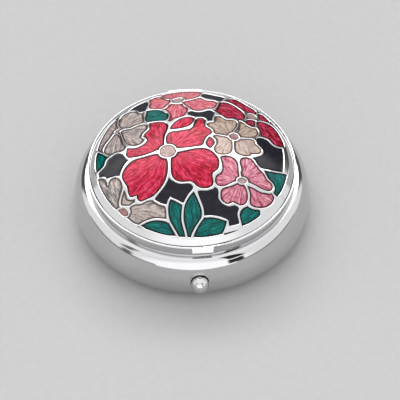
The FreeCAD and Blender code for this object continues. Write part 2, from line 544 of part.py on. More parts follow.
def make_hinge_pin():
    pin = rod_x(PIN_RADIUS, -HINGE_HALF, HINGE_HALF)
    for end in (-1, 1):
        head = Part.makeSphere(PIN_HEAD_RADIUS, V(end * HINGE_HALF, HINGE_Y, HINGE_Z))
        x0, x1 = sorted((end * HINGE_HALF, end * (HINGE_HALF + PIN_HEAD_LENGTH)))
        pin = pin.fuse(head.common(rod_x(PIN_HEAD_RADIUS, x0, x1)))
    return pin.removeSplitter()


def make_lid_hinge_leaf():
    outer = RIM_RADIUS + LEAF_THICKNESS
    strap = tube(RIM_RADIUS, outer, 12.45, RIM_TOP - 0.35)
    strap = strap.common(box(-3.6, 3.6, 0, BELLY_RADIUS, 12, 14))
    half = MIDDLE_KNUCKLE_HALF
    neck = tube(RIM_RADIUS, outer, 11.5, 12.5).common(box(-half, half, 0, BELLY_RADIUS, 11, 13))
    leaf = strap.fuse(neck).fuse(rod_x(KNUCKLE_RADIUS, -half, half))
    return leaf.cut(rod_x(FREE_BORE_RADIUS, -half - 1, half + 1)).removeSplitter()


# ---- button and latch -------------------------------------------------------------------
def make_push_button():
    ball = Part.makeSphere(BALL_RADIUS, V(0, BALL_Y, BUTTON_Z), V(0, 1, 0))
    stem = rod_y(STEM_RADIUS, BALL_Y, HOOK_FRONT_Y)
    return ball.fuse(stem).fuse(rod_y(STEM_NECK_RADIUS, HOOK_FRONT_Y, STEM_END_Y))


def make_latch_hook():
    back = HOOK_FRONT_Y + HOOK_THICKNESS
    plate = box(-HOOK_HALF, HOOK_HALF, HOOK_FRONT_Y, back, HOOK_BOTTOM, HOOK_TOP)
    nose_wire = Part.makePolygon([
        V(-NOSE_HALF, HOOK_FRONT_Y, NOSE_BOTTOM), V(-NOSE_HALF, NOSE_TIP_Y, NOSE_BOTTOM),
        V(-NOSE_HALF, NOSE_TIP_Y, NOSE_BOTTOM + 0.2), V(-NOSE_HALF, NOSE_TIP_Y + 0.4, NOSE_TOP),
        V(-NOSE_HALF, HOOK_FRONT_Y, NOSE_TOP), V(-NOSE_HALF, HOOK_FRONT_Y, NOSE_BOTTOM)])
    nose = Part.Face(nose_wire).extrude(V(2 * NOSE_HALF, 0, 0))
    hole = rod_y(STEM_NECK_RADIUS, HOOK_FRONT_Y - 1, back + 1)
    return plate.fuse(nose).cut(hole).removeSplitter()


def make_button_clip():
    front = HOOK_FRONT_Y + HOOK_THICKNESS
    washer = rod_y(CLIP_RADIUS, front, front + CLIP_THICKNESS)
    washer = washer.cut(rod_y(STEM_NECK_RADIUS, front - 1, front + 1))
    slot = STEM_NECK_RADIUS * 0.7
    return washer.cut(box(-slot, slot, front - 1, front + 1, 0, BUTTON_Z))


def make_latch_bracket():
    front = HOOK_FRONT_Y - BRACKET_SHEET
    back = BRACKET_BACK_Y + BRACKET_SHEET
    half = BRACKET_HALF
    foot = box(-half, half, HOOK_FRONT_Y, back, SHEET, SHEET + BRACKET_SHEET)
    rise = SHEET + 0.05
    front_plate = box(-HOOK_HALF, HOOK_HALF, front, HOOK_FRONT_Y, rise, BRACKET_FRONT_TOP)
    back_plate = box(-half, half, BRACKET_BACK_Y, back, SHEET, BRACKET_BACK_TOP)
    bracket = foot.fuse(front_plate).fuse(back_plate)
    bracket = bracket.cut(rod_y(STEM_RADIUS + 0.08, front - 1, HOOK_FRONT_Y + 1))
    return bracket.cut(rod_y(STEM_NECK_RADIUS + 0.08, back - 1, back + 1)).removeSplitter()


def make_latch_spring():
    front = HOOK_FRONT_Y + HOOK_THICKNESS + CLIP_THICKNESS
    length = BRACKET_BACK_Y - front - 2 * SPRING_WIRE_RADIUS
    helix = Part.makeHelix(length / SPRING_TURNS, length, SPRING_RADIUS)
    ring = Part.makeCircle(SPRING_WIRE_RADIUS, V(SPRING_RADIUS, 0, 0), V(0, 1, 0))
    coil = Part.Wire(helix).makePipeShell([Part.Wire(ring)], True, True)
    coil.rotate(V(0, 0, 0), V(1, 0, 0), -90)
    coil.translate(V(0, front + SPRING_WIRE_RADIUS, BUTTON_Z))
    return coil


# ---- lid --------------------------------------------------------------------------------
def shank(x):
    """Rivet shank that joins the thumb lip to the tongue through the rim."""
    return rod_y(SHANK_RADIUS, -RIM_RADIUS - 0.2, -RIM_INNER_RADIUS + 0.2, x, SHANK_Z)


def make_lid_shell():
    edge = (RIM_RADIUS - RIM_INNER_RADIUS) / 2
    middle = RIM_INNER_RADIUS + edge
    shoulder = RIM_TOP - edge
    outer = side(ENAMEL_RADIUS, dome_height(ENAMEL_RADIUS, PLATE_THICKNESS))
    slope = (outer.z - PLATE_EDGE_BOTTOM) / (PLATE_RADIUS - ENAMEL_RADIUS)
    ledge = side(RIM_INNER_RADIUS, outer.z - slope * (RIM_INNER_RADIUS - ENAMEL_RADIUS))
    drop = PLATE_THICKNESS + CARRIER_THICKNESS
    under = side(ENAMEL_RADIUS, dome_height(ENAMEL_RADIUS, drop))
    under_ledge = side(RIM_INNER_RADIUS, ledge.z - CARRIER_THICKNESS)
    profile = path([side(RIM_RADIUS, RIM_BOTTOM), side(RIM_RADIUS, shoulder)])
    profile += [arc(side(RIM_RADIUS, shoulder), side(middle, RIM_TOP),
                    side(RIM_INNER_RADIUS, shoulder))]
    profile += path([side(RIM_INNER_RADIUS, shoulder), ledge, outer])
    profile += [dome_arc(PLATE_THICKNESS, ENAMEL_RADIUS), dome_arc(drop, ENAMEL_RADIUS)]
    profile += [line(side(0, dome_height(0, PLATE_THICKNESS)), side(0, dome_height(0, drop)))]
    profile += path([under, under_ledge, side(RIM_INNER_RADIUS, RIM_BOTTOM),
                     side(RIM_RADIUS, RIM_BOTTOM)])
    shell = turned(profile).cut(hinge_clearance())
    for x in SHANK_X:
        shell = shell.cut(shank(x))
    return shell


def make_lid_catch():
    inner = RIM_INNER_RADIUS - TONGUE_THICKNESS
    tongue = tube(inner, RIM_INNER_RADIUS, TONGUE_BOTTOM, TONGUE_TOP)
    tongue = tongue.common(box(-TONGUE_HALF, TONGUE_HALF, -BELLY_RADIUS, 0, 0, 20))
    window = box(-WINDOW_HALF, WINDOW_HALF, -BELLY_RADIUS, 0, WINDOW_BOTTOM, WINDOW_TOP)
    catch = tongue.cut(window).fuse(thumb_lip())
    for x in SHANK_X:
        catch = catch.fuse(shank(x))
    return catch.removeSplitter()


def thumb_lip():
    """Sloped lip with rounded lower corners, standing on the outside of the rim."""
    x0 = LIP_MIDDLE_X - LIP_WIDTH / 2
    x1 = LIP_MIDDLE_X + LIP_WIDTH / 2
    out = -RIM_RADIUS - LIP_REACH
    section = Part.makePolygon([
        V(x0, -RIM_INNER_RADIUS, LIP_TOP), V(x0, -RIM_RADIUS - 0.12, LIP_TOP),
        V(x0, out, LIP_BOTTOM + LIP_NOSE), V(x0, out + 0.1, LIP_BOTTOM),
        V(x0, -RIM_INNER_RADIUS, LIP_BOTTOM), V(x0, -RIM_INNER_RADIUS, LIP_TOP)])
    lip = Part.Face(section).extrude(V(LIP_WIDTH, 0, 0))
    lip = lip.cut(Part.makeCylinder(RIM_RADIUS, 20))
    outline = box(x0, x1, out - 1, 0, LIP_BOTTOM, LIP_TOP)
    lower = [e for e in outline.Edges
             if abs(e.BoundBox.YLength) > 1 and e.BoundBox.ZMax < LIP_BOTTOM + 0.01]
    return lip.common(outline.makeFillet(LIP_CORNER, lower))


def make_mirror():
    return Part.makeCylinder(MIRROR_RADIUS, MIRROR_THICKNESS, V(0, 0, MIRROR_BOTTOM))


def make_mirror_pad():
    return Part.makeCylinder(PAD_RADIUS, PAD_THICKNESS, V(0, 0, MIRROR_BOTTOM + MIRROR_THICKNESS))


def make_mirror_ring():
    seat = MIRROR_RADIUS + 0.1
    points = [side(RING_INNER_RADIUS, RING_BOTTOM), side(RING_OUTER_RADIUS, RING_BOTTOM),
              side(RING_OUTER_RADIUS, 13.12), side(ENAMEL_RADIUS, 13.62), side(seat, 14.05),
              side(seat, MIRROR_BOTTOM), side(RING_INNER_RADIUS, MIRROR_BOTTOM)]
    return turned(path(points + points[:1]))


# ---- motif ------------------------------------------------------------------------------
def outline_face(points):
    """Flat face inside an outline of smooth stretches that meet at its corners."""
    corners = [i for i, p in enumerate(points) if len(p) == 3]
    places = [V(p[0], p[1], PRISM_BOTTOM) for p in points]
    if not corners:
        curve = Part.BSplineCurve()
        curve.interpolate(Points=places, PeriodicFlag=True)
        return Part.Face(Part.Wire([curve.toShape()]))
    places = places[corners[0]:] + places[:corners[0]]
    stops = [c - corners[0] for c in corners] + [len(places)]
    places.append(places[0])
    edges = []
    for start, stop in zip(stops, stops[1:]):
        stretch = places[start:stop + 1]
        if len(stretch) == 2:
            edges.append(line(*stretch))
            continue
        curve = Part.BSplineCurve()
        curve.interpolate(Points=stretch)
        edges.append(curve.toShape())
    return Part.Face(Part.Wire(edges))


def oval_prism(name, grow):
    """Upright oval post at a flower centre."""
    x, y, length, width, tilt, metal = CENTRES[name]
    a = length + grow * metal
    b = width + grow * metal
    turn = math.radians(tilt)
    middle = V(x, y, PRISM_BOTTOM)
    along = V(math.cos(turn), math.sin(turn), 0)
    across = V(-math.sin(turn), math.cos(turn), 0)
    if abs(a - b) < 1e-6:
        return Part.makeCylinder(a, PRISM_TOP - PRISM_BOTTOM, middle)
    ellipse = Part.Ellipse(middle + along * a, middle + across * b, middle)
    face = Part.Face(Part.Wire([ellipse.toShape()]))
    return face.extrude(V(0, 0, PRISM_TOP - PRISM_BOTTOM))


def cell_prisms(cells, centres):
    """Upright prisms of one colour, trimmed at the flower centres and the enamel edge."""
    edge = Part.makeCylinder(ENAMEL_RADIUS, PRISM_TOP - PRISM_BOTTOM, V(0, 0, PRISM_BOTTOM))
    prisms = []
    for points in cells.values():
        prism = outline_face(points).extrude(V(0, 0, PRISM_TOP - PRISM_BOTTOM))
        reach = max(math.hypot(p[0], p[1]) for p in points)
        if reach > ENAMEL_RADIUS - 0.5:
            prism = prism.common(edge)
        for name in centres:
            prism = prism.cut(oval_prism(name, 1))
        prisms += prism.Solids
    return prisms


def centre_prisms():
    edge = Part.makeCylinder(ENAMEL_RADIUS, PRISM_TOP - PRISM_BOTTOM, V(0, 0, PRISM_BOTTOM))
    posts = [oval_prism(name, 0).common(edge) for name in CENTRES]
    return [solid for post in posts for solid in post.Solids]


def enamel_fill(prisms):
    """Enamel between the pocket floor and just under the metal lines."""
    top = ball_of_dome(ENAMEL_SINK)
    floor = ball_of_dome(POCKET_DEPTH)
    pieces = [prism.common(top).cut(floor) for prism in prisms]
    return Part.makeCompound([solid for piece in pieces for solid in piece.Solids])


def make_motif_plate(prisms):
    crest = PRISM_TOP
    corner = side(BEVEL_RADIUS, dome_height(BEVEL_RADIUS, 0))
    edge_top = side(PLATE_RADIUS, PLATE_EDGE_TOP)
    edge_bottom = side(PLATE_RADIUS, PLATE_EDGE_BOTTOM)
    under = side(ENAMEL_RADIUS, dome_height(ENAMEL_RADIUS, PLATE_THICKNESS))
    low = 12.0
    profile = path([side(0, low), side(0, crest), side(BEVEL_RADIUS, crest), corner, edge_top,
                    edge_bottom, under, side(ENAMEL_RADIUS, low), side(0, low)])
    plate = turned(profile).common(ball_of_dome(0)).cut(ball_of_dome(PLATE_THICKNESS))
    floor = ball_of_dome(POCKET_DEPTH)
    for prism in prisms:
        plate = plate.cut(prism.cut(floor))
    return plate


def write(name, shape):
    shape.exportStep(os.path.join("parts", name + ".step"))


def main():
    os.makedirs("parts", exist_ok=True)
    makers = {
        "base_shell": make_base_shell,
        "base_collar": make_base_collar,
        "pill_tray": make_pill_tray,
        "base_hinge_leaf": make_base_hinge_leaf,
        "hinge_pin": make_hinge_pin,
        "button_ferrule": make_button_ferrule,
        "latch_bracket": make_latch_bracket,
        "latch_spring": make_latch_spring,
        "push_button": make_push_button,
        "latch_hook": make_latch_hook,
        "button_clip": make_button_clip,
        "lid_shell": make_lid_shell,
        "lid_catch": make_lid_catch,
        "lid_hinge_leaf": make_lid_hinge_leaf,
        "mirror": make_mirror,
        "mirror_ring": make_mirror_ring,
        "mirror_pad": make_mirror_pad,
    }
    for name, maker in makers.items():
        write(name, maker())
    centres = centre_prisms()
    write("enamel_centres", enamel_fill(centres))
    everything = list(centres)
    for name, (cells, middles) in ENAMELS.items():
        prisms = cell_prisms(cells, middles)
        write(name, enamel_fill(prisms))
        everything += prisms
    write("motif_plate", make_motif_plate(everything))


main()
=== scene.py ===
"""Looks of the round enamelled pill box: polished metal, flower enamel in metal lines, camera and light.

Positions are in millimetres, with the CAD model's origin and axes, until a mesh is made.
"""

import math

import bpy
import numpy as np
from mathutils import Matrix, Vector
from mathutils.geometry import delaunay_2d_cdt
from mathutils.kdtree import KDTree


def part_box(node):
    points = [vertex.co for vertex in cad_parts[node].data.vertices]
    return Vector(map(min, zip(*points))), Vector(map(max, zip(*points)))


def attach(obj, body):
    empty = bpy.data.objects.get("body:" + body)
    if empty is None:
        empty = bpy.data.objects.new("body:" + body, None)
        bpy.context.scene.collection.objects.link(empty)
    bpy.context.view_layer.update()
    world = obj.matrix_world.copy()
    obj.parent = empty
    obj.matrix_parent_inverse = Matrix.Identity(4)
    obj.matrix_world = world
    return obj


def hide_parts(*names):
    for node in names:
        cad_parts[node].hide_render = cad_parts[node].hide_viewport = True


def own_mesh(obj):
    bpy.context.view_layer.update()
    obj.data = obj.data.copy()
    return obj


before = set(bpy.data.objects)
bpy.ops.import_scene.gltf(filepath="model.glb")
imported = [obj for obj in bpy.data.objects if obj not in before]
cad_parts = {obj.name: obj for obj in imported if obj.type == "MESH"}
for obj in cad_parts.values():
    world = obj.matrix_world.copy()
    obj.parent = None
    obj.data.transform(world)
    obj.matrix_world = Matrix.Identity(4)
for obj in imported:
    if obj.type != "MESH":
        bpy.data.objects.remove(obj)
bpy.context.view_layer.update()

MM = 0.001
SRGB_MAX = 255

# How bright the studio light is on the enamel, and how much of it the glass surface alone sends back
STUDIO_LIGHT = 1.52
GLOSS = 0.05
DARKEST = 0.002

# The enamelled plate, in millimetres
PLATE_LOW, PLATE_HIGH = (np.array(corner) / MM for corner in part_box("motif_plate"))
PLATE_RADIUS = PLATE_HIGH[0]
APEX_Z = PLATE_HIGH[2]
DOME_RADIUS = 52.0
DOME_CENTRE_Z = APEX_Z - DOME_RADIUS
MOTIF_RADIUS = 20.0
BEVEL_RADIUS = 20.3
PLATE_EDGE_Z = 13.9
PLATE_THICKNESS = 1.0
POCKET_DEPTH = 0.45
CAD_ENAMEL_SINK = 0.05

# How the metal lines and the enamel meet, in millimetres
GROOVE = 0.08
LINE_ROUNDING = 0.2
ENAMEL_DIP = 0.05
MENISCUS = 0.22
LINE_WIDTH = 0.4
LEAST_CREEP = 0.03
MOST_CREEP = 0.17
CREEP_SMOOTHING = 9

# The flower middles with dusty rose enamel, seen from above
ROSY_MIDDLES = ((9.15, 3.95), (-14.95, -12.7))
MIDDLE_REACH = 0.8

# How close the CAD model's points lie to its enamel surface, and to each other, to count as there
SURFACE_TOLERANCE = 0.004
WELD_DISTANCE = 0.0005

# How many streaks the enamel shows across it, and how fast they drift along it
FLOWER_STREAKS = 17.0
FLOWER_DRIFT = 0.55
LEAF_STREAKS = 4.2
LEAF_DRIFT = 0.5

# How close the plate's points lie, in millimetres
OUTLINE_STEP = 0.15
SHORTEST_STEP = 0.04
METAL_OFFSETS = (0.06, 0.13, 0.2)
ENAMEL_OFFSETS = (0.1, 0.24)
GRID_STEP = 0.34
RING_STEP = 0.19
RING_POINTS = 420
UNDERSIDE_STEP = 2.0

# The height of a row of the grid, as a share of its step, and how far from every outline a point
# beside one stays, as a share of its offset
ROW_HEIGHT = math.sqrt(0.75)
ROW_SHARE = 0.9

# How near a point is that counts as on an outline, how near two are that count as one, and how far
# to each side of a radius the slope is measured, in millimetres
ON_OUTLINE = 1e-4
SAME_POINT = 1e-5
SLOPE_REACH = 0.002

# An outline has a corner where it turns further than this, and two outward vectors face each other
# where their dot product is lower than this
CORNER_TURN = math.radians(38)
FACING = -0.25


# ---------------------------------------------------------------- node helpers

# Places of a colour mix node's sockets, whose names aren't unique
MIX_FACTOR, MIX_COLOUR_A, MIX_COLOUR_B = 0, 6, 7
MIX_RESULT = 2


def linear(colour):
    """An sRGB colour of three whole numbers as linear light with alpha."""
    parts = [c / SRGB_MAX for c in colour]
    return tuple(((c + 0.055) / 1.055) ** 2.4 if c > 0.04045 else c / 12.92 for c in parts) + (1.0,)


def new_material(name):
    """A material with an empty node tree but for its shader, as (material, tree, shader)."""
    material = bpy.data.materials.new(name)
    material.use_nodes = True
    tree = material.node_tree
    return material, tree, tree.nodes["Principled BSDF"]


def add_node(tree, kind, inputs=None, **settings):
    """A new node with its settings and with its input sockets either set to a value or linked."""
    node = tree.nodes.new(kind)
    for key, value in settings.items():
        setattr(node, key, value)
    for key, value in (inputs or {}).items():
        plug(tree, node.inputs[key], value)
    return node


def plug(tree, socket, value):
    """Links an output socket to the input socket, or sets the input socket's own value."""
    if isinstance(value, bpy.types.NodeSocket):
        tree.links.new(value, socket)
    else:
        socket.default_value = value


def set_shader(tree, shader, **inputs):
    """Sets or links the shader's inputs, named with underscores for spaces."""
    for key, value in inputs.items():
        plug(tree, shader.inputs[key.replace("_", " ")], value)


def millimetres(tree, scale=(1.0, 1.0, 1.0)):
    """The object's own coordinates in millimetres, scaled."""
    source = add_node(tree, "ShaderNodeTexCoord")
    size = tuple(s / MM for s in scale)
    inputs = {"Vector": source.outputs["Object"], "Scale": size}
    return add_node(tree, "ShaderNodeMapping", inputs).outputs["Vector"]


def noise(tree, vector, scale, detail=3.0, distortion=0.0, roughness=0.55):
    """A noise value over the given coordinates."""
    inputs = {"Vector": vector, "Scale": scale, "Detail": detail}
    inputs.update({"Distortion": distortion, "Roughness": roughness})
    return add_node(tree, "ShaderNodeTexNoise", inputs).outputs["Fac"]


def remap(tree, value, low, high, to_low=0.0, to_high=1.0):
    """The value moved smoothly from one range to another, and kept inside it."""
    inputs = {"Value": value, "From Min": low, "From Max": high, "To Min": to_low, "To Max": to_high}
    node = add_node(tree, "ShaderNodeMapRange", inputs, interpolation_type="SMOOTHSTEP")
    return node.outputs["Result"]


def ramp(tree, value, stops):
    """A colour ramp through (position, linear colour) stops."""
    node = add_node(tree, "ShaderNodeValToRGB", {"Fac": value})
    elements = node.color_ramp.elements
    while len(elements) < len(stops):
        elements.new(0.5)
    for element, (position, colour) in zip(elements, stops):
        element.position = position
        element.color = colour
    return node.outputs["Color"]


def mix(tree, factor, a, b):
    """Colour a at factor 0, through to colour b at factor 1."""
    node = add_node(tree, "ShaderNodeMix", data_type="RGBA")
    sockets = (MIX_FACTOR, MIX_COLOUR_A, MIX_COLOUR_B)
    for socket, value in zip(sockets, (factor, a, b)):
        plug(tree, node.inputs[socket], value)
    return node.outputs[MIX_RESULT]


def calculate(tree, operation, a, b=0.0):
    """One step of arithmetic on two numbers or sockets."""
    node = add_node(tree, "ShaderNodeMath", operation=operation)
    plug(tree, node.inputs[0], a)
    plug(tree, node.inputs[1], b)
    return node.outputs[0]


def bump(tree, height, distance, strength=1.0):
    """A bumped normal, with its height in metres."""
    inputs = {"Height": height, "Distance": distance, "Strength": strength}
    return add_node(tree, "ShaderNodeBump", inputs).outputs["Normal"]


# ------------------------------------------------------------------- materials

# The clear glass over the enamel, and how much of it shows on coloured and on black enamel
GLASS_COAT = {"Coat_Roughness": 0.03, "Coat_IOR": 1.42}
ENAMEL_COAT = 0.4
BLACK_COAT = 0.35

# How metallic the foil under the enamel looks, and how much of its pattern is veins
FOIL_SHEEN = 0.35
VEIN_SHARE = 0.68


def metal_material(name, pale, dull, roughness, scuff):
    """Bright plated metal with faint polishing marks: roughness is (smoothest, roughest)."""
    material, tree, shader = new_material(name)
    clouds = noise(tree, millimetres(tree), 0.09, detail=2.0)
    marks = noise(tree, millimetres(tree, (1.0, 1.0, 7.0)), 1.6, detail=6.0, distortion=0.6, roughness=0.7)
    colour = ramp(tree, clouds, [(0.3, linear(dull)), (0.7, linear(pale))])
    finish = remap(tree, marks, 0.35, 0.8, *roughness)
    set_shader(tree, shader, Base_Color=colour, Metallic=1.0, Roughness=finish)
    set_shader(tree, shader, Normal=bump(tree, marks, scuff * MM))
    return material


def pigment(seen):
    """The enamel's own colour, from the colour that it shows in the studio light."""
    return tuple(max(part - GLOSS, DARKEST) / STUDIO_LIGHT for part in linear(seen)[:3]) + (1.0,)


def enamel_material(name, vein, body, light, edge, tint, edge_width=1.0, rosy=None):
    """Glassy enamel over crinkled foil: veins run out from the flower's middle, small painted glints stand
    in for light off the foil, and the edge along the metal lines is dark, partly the enamel's deeper colour
    and partly painted shade of the groove.

    The body's colour drifts to the tint in clouds, and cells with the blush attribute are rosy.
    """
    material, tree, shader = new_material(name)
    grain = add_node(tree, "ShaderNodeAttribute", attribute_name="grain").outputs["Vector"]
    depth = add_node(tree, "ShaderNodeAttribute", attribute_name="edge").outputs["Fac"]
    blush = add_node(tree, "ShaderNodeAttribute", attribute_name="blush").outputs["Fac"]
    veins = noise(tree, grain, 1.0, detail=4.0, distortion=0.4, roughness=0.6)
    scribble = noise(tree, millimetres(tree), 2.2, detail=4.0, distortion=2.5, roughness=0.65)
    painted_glint = noise(tree, millimetres(tree), 4.4, detail=2.0, distortion=1.2)
    clouds = noise(tree, millimetres(tree), 0.3, detail=2.0, distortion=0.5)
    veined = calculate(tree, "MULTIPLY", veins, VEIN_SHARE)
    scribbled = calculate(tree, "MULTIPLY", scribble, 1 - VEIN_SHARE)
    lines = calculate(tree, "ADD", veined, scribbled)
    ground = mix(tree, remap(tree, clouds, 0.38, 0.62), pigment(body), pigment(tint))
    if rosy:
        ground = mix(tree, blush, ground, pigment(rosy))
    colour = mix(tree, remap(tree, lines, 0.43, 0.5), pigment(vein), ground)
    colour = mix(tree, remap(tree, lines, 0.5, 0.58), colour, pigment(light))
    # Painted glints: small spots turn to the pale colour, standing in for light caught by the crinkled foil
    colour = mix(tree, remap(tree, painted_glint, 0.54, 0.68, 0.0, 0.55), colour, pigment(light))
    # Painted shade along the metal lines: near the outline the enamel turns to the dark edge colour, partly
    # its own deeper colour and partly the groove's shade
    edge_shade_fade = remap(tree, depth, 0.16 * edge_width, 0.5 * edge_width)
    colour = mix(tree, edge_shade_fade, pigment(edge), colour)
    roughness = remap(tree, scribble, 0.3, 0.7, 0.3, 0.5)
    set_shader(tree, shader, Base_Color=colour, Metallic=FOIL_SHEEN, Roughness=roughness)
    set_shader(tree, shader, Specular_IOR_Level=0.0, Normal=bump(tree, lines, 0.1 * MM, 0.5))
    set_shader(tree, shader, Coat_Weight=ENAMEL_COAT, **GLASS_COAT)
    return material


def black_enamel_material(name):
    """Smooth opaque blue-black enamel with faint clouds, and glossy."""
    material, tree, shader = new_material(name)
    clouds = noise(tree, millimetres(tree), 0.8, detail=4.0, distortion=0.8)
    colour = ramp(tree, clouds, [(0.3, linear((22, 21, 28))), (0.7, linear((37, 35, 43)))])
    set_shader(tree, shader, Base_Color=colour, Roughness=remap(tree, clouds, 0.3, 0.7, 0.2, 0.3))
    set_shader(tree, shader, Specular_IOR_Level=0.0, Normal=bump(tree, clouds, 0.02 * MM))
    set_shader(tree, shader, Coat_Weight=BLACK_COAT, **GLASS_COAT)
    return material


def plastic_material(name):
    """Slightly milky white moulded plastic."""
    material, tree, shader = new_material(name)
    clouds = noise(tree, millimetres(tree), 0.12, detail=3.0)
    texture = noise(tree, millimetres(tree), 9.0, detail=2.0)
    colour = ramp(tree, clouds, [(0.3, linear((226, 226, 222))), (0.7, linear((238, 238, 235)))])
    set_shader(tree, shader, Base_Color=colour, Roughness=remap(tree, texture, 0.3, 0.7, 0.24, 0.36))
    set_shader(tree, shader, Subsurface_Weight=0.15, Subsurface_Scale=0.6 * MM, IOR=1.49)
    set_shader(tree, shader, Normal=bump(tree, texture, 0.006 * MM))
    return material


def mirror_material(name):
    """Silvered glass with a trace of haze."""
    material, tree, shader = new_material(name)
    haze = noise(tree, millimetres(tree), 0.15, detail=4.0, distortion=1.0)
    colour = ramp(tree, haze, [(0.3, linear((229, 233, 232))), (0.7, linear((240, 243, 242)))])
    roughness = remap(tree, haze, 0.5, 0.9, 0.005, 0.05)
    set_shader(tree, shader, Base_Color=colour, Metallic=1.0, Roughness=roughness)
    return material


def card_material(name):
    """Grey backing card with paper fibres."""
    material, tree, shader = new_material(name)
    fibres = noise(tree, millimetres(tree, (1.0, 3.0, 1.0)), 2.5, detail=6.0, distortion=1.5)
    colour = ramp(tree, fibres, [(0.3, linear((112, 108, 102))), (0.7, linear((140, 136, 129)))])
    set_shader(tree, shader, Base_Color=colour, Roughness=0.9, Normal=bump(tree, fibres, 0.03 * MM))
    return material


def floor_material(name):
    """Matt pale paper."""
    material, tree, shader = new_material(name)
    fibres = noise(tree, millimetres(tree), 0.7, detail=5.0)
    colour = ramp(tree, fibres, [(0.3, linear((176, 176, 176))), (0.7, linear((180, 180, 180)))])
    set_shader(tree, shader, Base_Color=colour, Roughness=0.95, Specular_IOR_Level=0.1)
    return material


SILVER = metal_material("silver_plate", (206, 206, 207), (199, 199, 201), (0.03, 0.07), 0.0012)
LATCH_STEEL = metal_material("latch_steel", (190, 189, 185), (176, 175, 172), (0.14, 0.28), 0.004)
SPRING_STEEL = metal_material("spring_steel", (182, 181, 176), (160, 159, 156), (0.18, 0.3), 0.003)
PLASTIC = plastic_material("tray_plastic_white")
MIRROR = mirror_material("mirror_silver")
CARD = card_material("mirror_backing_card")

# Each enamel's colours: veins, body, a pale light colour for streaks and for painted glints, and a dark edge
# along the metal lines that is partly deeper enamel colour and partly painted shade
CRIMSON = {"vein": (146, 26, 56), "body": (214, 56, 84), "light": (236, 98, 124), "edge": (74, 18, 36)}
GARNET = {"vein": (136, 32, 58), "body": (214, 64, 96), "light": (236, 120, 142), "edge": (84, 24, 42)}
CORAL = {"vein": (202, 76, 96), "body": (240, 124, 134), "light": (255, 182, 182), "edge": (132, 48, 68)}
ROSE = {"vein": (170, 74, 100), "body": (226, 138, 156), "light": (250, 196, 204), "edge": (92, 36, 56)}
CREAM = {"vein": (146, 124, 112), "body": (200, 178, 164), "light": (228, 212, 200), "edge": (114, 92, 84)}
LILAC = {"vein": (134, 124, 124), "body": (204, 188, 182), "light": (234, 220, 212), "edge": (102, 90, 88)}
GREEN = {"vein": (12, 86, 86), "body": (26, 116, 110), "light": (64, 152, 142), "edge": (18, 54, 56)}
MIDDLE = {
    "vein": (166, 132, 130),
    "body": (198, 172, 166),
    "light": (226, 206, 200),
    "edge": (134, 104, 102),
}

ENAMELS = {
    "enamel_crimson": enamel_material("enamel_crimson_glass", tint=(200, 50, 92), **CRIMSON),
    "enamel_garnet": enamel_material("enamel_garnet_glass", tint=(176, 48, 86), **GARNET),
    "enamel_coral": enamel_material("enamel_coral_glass", tint=(226, 118, 146), **CORAL),
    "enamel_rose": enamel_material("enamel_rose_glass", tint=(208, 120, 152), **ROSE),
    "enamel_cream": enamel_material("enamel_cream_glass", tint=(206, 184, 176), **CREAM),
    "enamel_lilac": enamel_material("enamel_lilac_glass", tint=(160, 156, 158), **LILAC),
    "enamel_green": enamel_material("enamel_green_glass", tint=(16, 108, 112), **GREEN),
    "enamel_centres": enamel_material(
        "enamel_middle_glass", tint=(182, 160, 158), edge_width=0.45, rosy=(158, 78, 92), **MIDDLE
    ),
    "enamel_black": black_enamel_material("enamel_black_glass"),
}

NODE_MATERIALS = {
    "polished_metal": SILVER,
    "latch_metal": LATCH_STEEL,
    "spring_metal": SPRING_STEEL,
    "tray_plastic": PLASTIC,
    "mirror_glass": MIRROR,
    "backing_card": CARD,
}


def finish_cad_nodes():
    """Gives every CAD node that stays its finished material."""
    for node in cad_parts.values():
        for place in node.material_slots:
            place.material = NODE_MATERIALS.get(place.material.name, place.material)


# ------------------------------------------------------------ enamelled plate


def dome_height(radius):
    """Height of the dome at a radius from the middle."""
    return DOME_CENTRE_Z + np.sqrt(DOME_RADIUS**2 - radius**2)


BEVEL_SLOPE = (PLATE_EDGE_Z - dome_height(BEVEL_RADIUS)) / (PLATE_RADIUS - BEVEL_RADIUS)


def plate_height(radius):
    """Height of the plate's polished top: the dome, then the bevelled border."""
    bevel = dome_height(BEVEL_RADIUS) + BEVEL_SLOPE * (radius - BEVEL_RADIUS)
    return np.where(radius < BEVEL_RADIUS, dome_height(radius), bevel)


def plate_slope(radius):
    """How fast the plate's top rises with the radius."""
    return (plate_height(radius + SLOPE_REACH) - plate_height(radius - SLOPE_REACH)) / (2 * SLOPE_REACH)


def cad_triangles(mesh):
    """The triangles of a CAD node as rows of three vertex numbers, and its points in millimetres."""
    points = np.zeros(len(mesh.vertices) * 3)
    mesh.vertices.foreach_get("co", points)
    mesh.calc_loop_triangles()
    corners = np.zeros(len(mesh.loop_triangles) * 3, int)
    mesh.loop_triangles.foreach_get("vertices", corners)
    return corners.reshape(-1, 3), points.reshape(-1, 3) / MM


def cell_outlines(node):
    """The outlines of a node's enamel cells seen from above, anticlockwise, one array of points each."""
    triangles, points = cad_triangles(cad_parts[node].data)
    reach = np.linalg.norm(points - (0, 0, DOME_CENTRE_Z), axis=1)
    on_top = np.abs(reach - DOME_RADIUS + CAD_ENAMEL_SINK) < SURFACE_TOLERANCE
    plan, joined = np.unique(np.round(points[:, :2] / WELD_DISTANCE), axis=0, return_inverse=True)
    top = joined.ravel()[triangles[on_top[triangles].all(axis=1)]]
    sides = {(t[i - 1], t[i]) for t in top.tolist() for i in range(3)}
    following = {a: b for a, b in sides if (b, a) not in sides}
    outlines = []
    while following:
        start, here = following.popitem()
        loop = [start]
        while here != start:
            loop.append(here)
            here = following.pop(here)
        outlines.append(smooth_outline(plan[loop] * WELD_DISTANCE))
    return outlines


def unit(vectors):
    """The vectors at length one."""
    return vectors / np.maximum(np.linalg.norm(vectors, axis=-1, keepdims=True), 1e-9)


